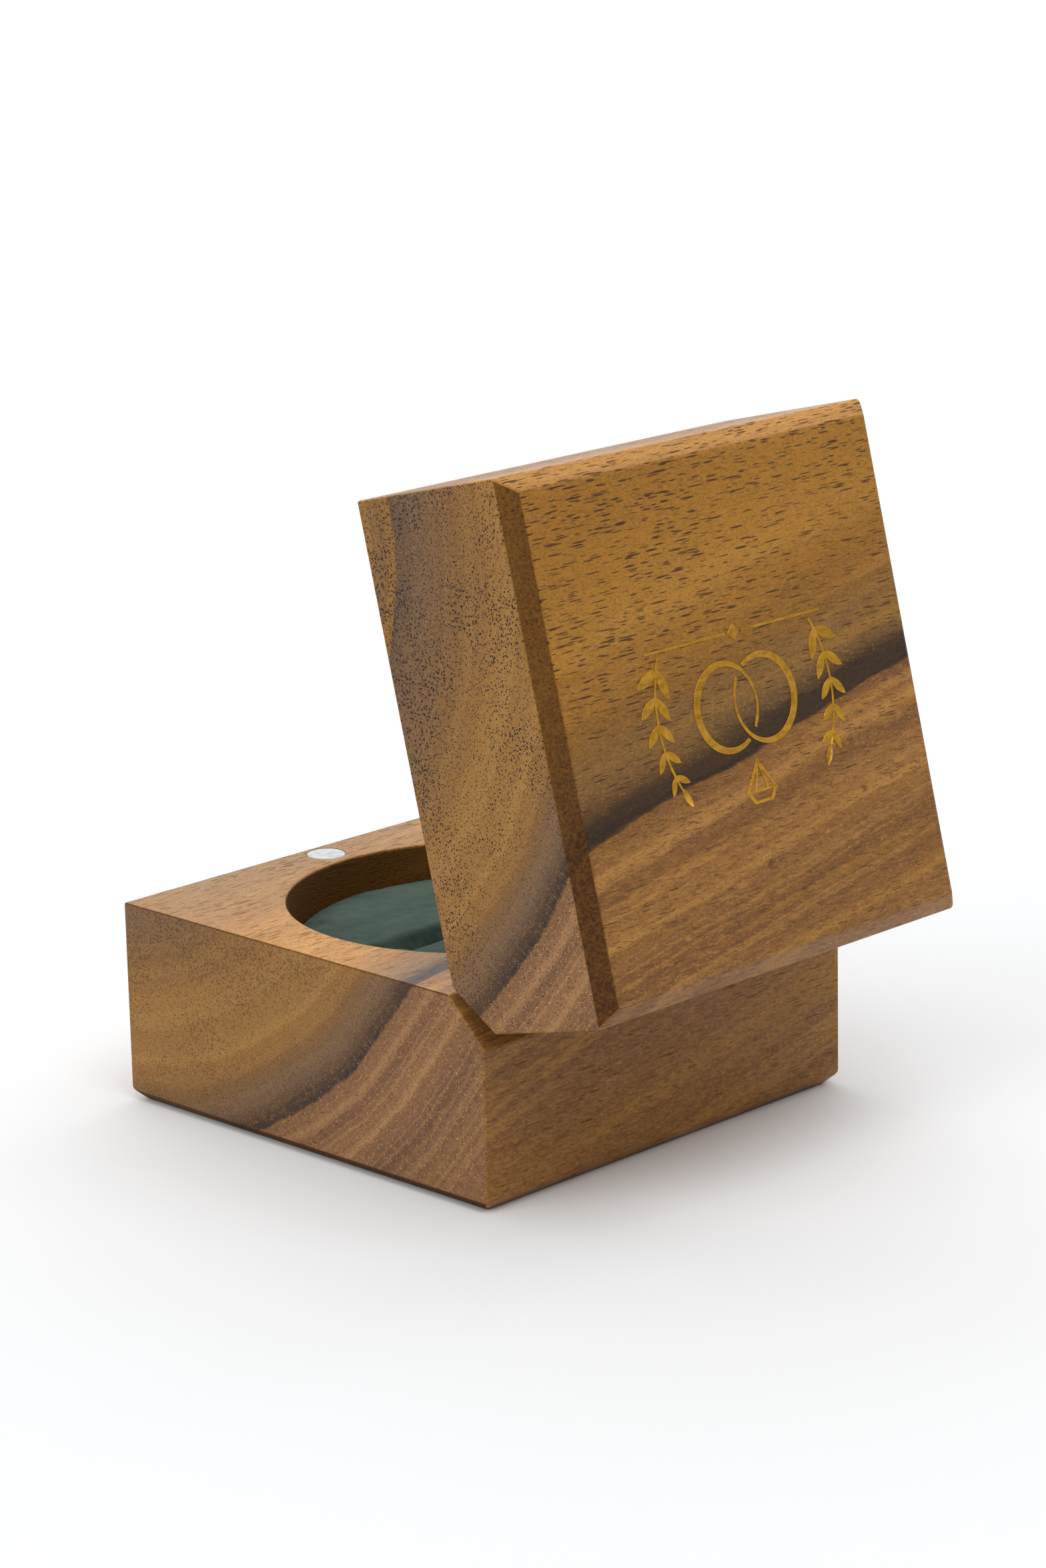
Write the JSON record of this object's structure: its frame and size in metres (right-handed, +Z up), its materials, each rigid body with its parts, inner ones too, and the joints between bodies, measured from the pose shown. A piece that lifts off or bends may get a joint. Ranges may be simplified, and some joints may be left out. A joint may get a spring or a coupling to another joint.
{
  "type": "ring box",
  "caption": "Square wooden ring box with a velvet ring cushion in a round well and a tilting lid on concealed barrel hinges.",
  "frame": {"origin": "centre of the base's underside", "axes": "+Z up, X along the hinge line, +Y to the rear where the hinges are, -Y to the front where the box opens"},
  "size_m": [0.05, 0.0657, 0.0697],
  "materials": {
    "wood": "satin",
    "velvet": "matte",
    "foam": "matte",
    "board": "matte",
    "magnet": "polished",
    "brass": "satin",
    "steel": "satin",
    "foil": "gloss"
  },
  "bodies": {
    "base": {"base_block": "wood", "base_magnet": "magnet", "cushion_board": "board", "cushion_foam": "foam", "cushion_cover": "velvet", "left_lower_barrel": "brass", "right_lower_barrel": "brass", "left_lower_pin": "steel", "right_lower_pin": "steel"},
    "hinge_links": {"left_link_plates": "steel", "right_link_plates": "steel"},
    "lid": {"lid_block": "wood", "lid_magnet": "magnet", "lid_pad_card": "board", "lid_pad_velvet": "velvet", "left_upper_barrel": "brass", "right_upper_barrel": "brass", "left_upper_pin": "steel", "right_upper_pin": "steel", "foil_rings": "foil", "foil_gem": "foil", "foil_left_spray": "foil", "foil_right_spray": "foil", "foil_rule": "foil"}
  },
  "joints": [
    {"name": "link_pivot", "type": "hinge", "parent": "base", "child": "hinge_links", "pos_m": [0, 0.0205, 0.0183], "axis": [-1, 0, 0], "range_deg": [-38.1, 9.38]},
    {"name": "lid_pivot", "type": "hinge", "parent": "hinge_links", "child": "lid", "pos_m": [0, 0.02322, 0.02176], "axis": [-1, 0, 0], "range_deg": [-38.1, 9.38]}
  ],
  "couplings": [
    {"joint": "lid_pivot", "follows": "link_pivot", "ratio": 1}
  ]
}
